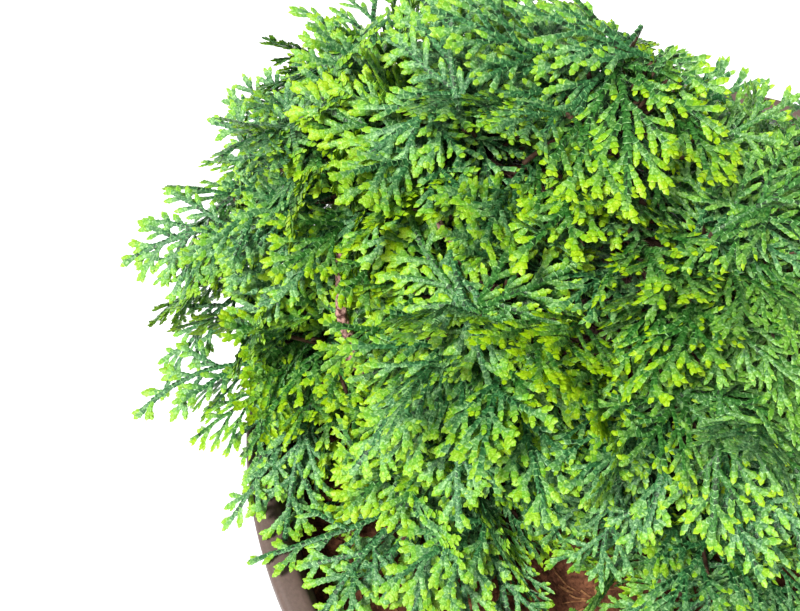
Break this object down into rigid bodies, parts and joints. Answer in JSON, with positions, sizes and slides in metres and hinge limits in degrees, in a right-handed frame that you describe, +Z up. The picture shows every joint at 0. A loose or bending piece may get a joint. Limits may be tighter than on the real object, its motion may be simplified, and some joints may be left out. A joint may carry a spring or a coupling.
{
  "type": "potted conifer",
  "caption": "Dwarf conifer of Hinoki type with dense fans of scale leaves, growing in a round tapered nursery pot filled with peat.",
  "frame": {"origin": "centre of the pot's underside, on the ground", "axes": "+Z up along the pot's axis, -Y towards the front of the plant, +X to the front's right"},
  "size_m": [0.289, 0.26, 0.3322],
  "materials": {
    "pot": "smooth moulded plastic, low sheen",
    "soil": "fibrous peat",
    "bark": "rough peeling bark",
    "foliage": "matt living leaf"
  },
  "bodies": {
    "root": {"bough_low_1": "bark", "bough_low_10": "bark", "bough_low_2": "bark", "bough_low_3": "bark", "bough_low_4": "bark", "bough_low_5": "bark", "bough_low_6": "bark", "bough_low_7": "bark", "bough_low_8": "bark", "bough_low_9": "bark", "bough_middle_1": "bark", "bough_middle_2": "bark", "bough_middle_3": "bark", "bough_middle_4": "bark", "bough_middle_5": "bark", "bough_middle_6": "bark", "bough_middle_7": "bark", "bough_middle_8": "bark", "bough_upper_1": "bark", "bough_upper_2": "bark", "bough_upper_3": "bark", "bough_upper_4": "bark", "foliage_low_1": "foliage", "foliage_low_10": "foliage", "foliage_low_2": "foliage", "foliage_low_3": "foliage", "foliage_low_4": "foliage", "foliage_low_5": "foliage", "foliage_low_6": "foliage", "foliage_low_7": "foliage", "foliage_low_8": "foliage", "foliage_low_9": "foliage", "foliage_middle_1": "foliage", "foliage_middle_2": "foliage", "foliage_middle_3": "foliage", "foliage_middle_4": "foliage", "foliage_middle_5": "foliage", "foliage_middle_6": "foliage", "foliage_middle_7": "foliage", "foliage_middle_8": "foliage", "foliage_top": "foliage", "foliage_upper_1": "foliage", "foliage_upper_2": "foliage", "foliage_upper_3": "foliage", "foliage_upper_4": "foliage", "pot": "pot", "soil": "soil", "trunk": "bark"}
  },
  "joints": []
}
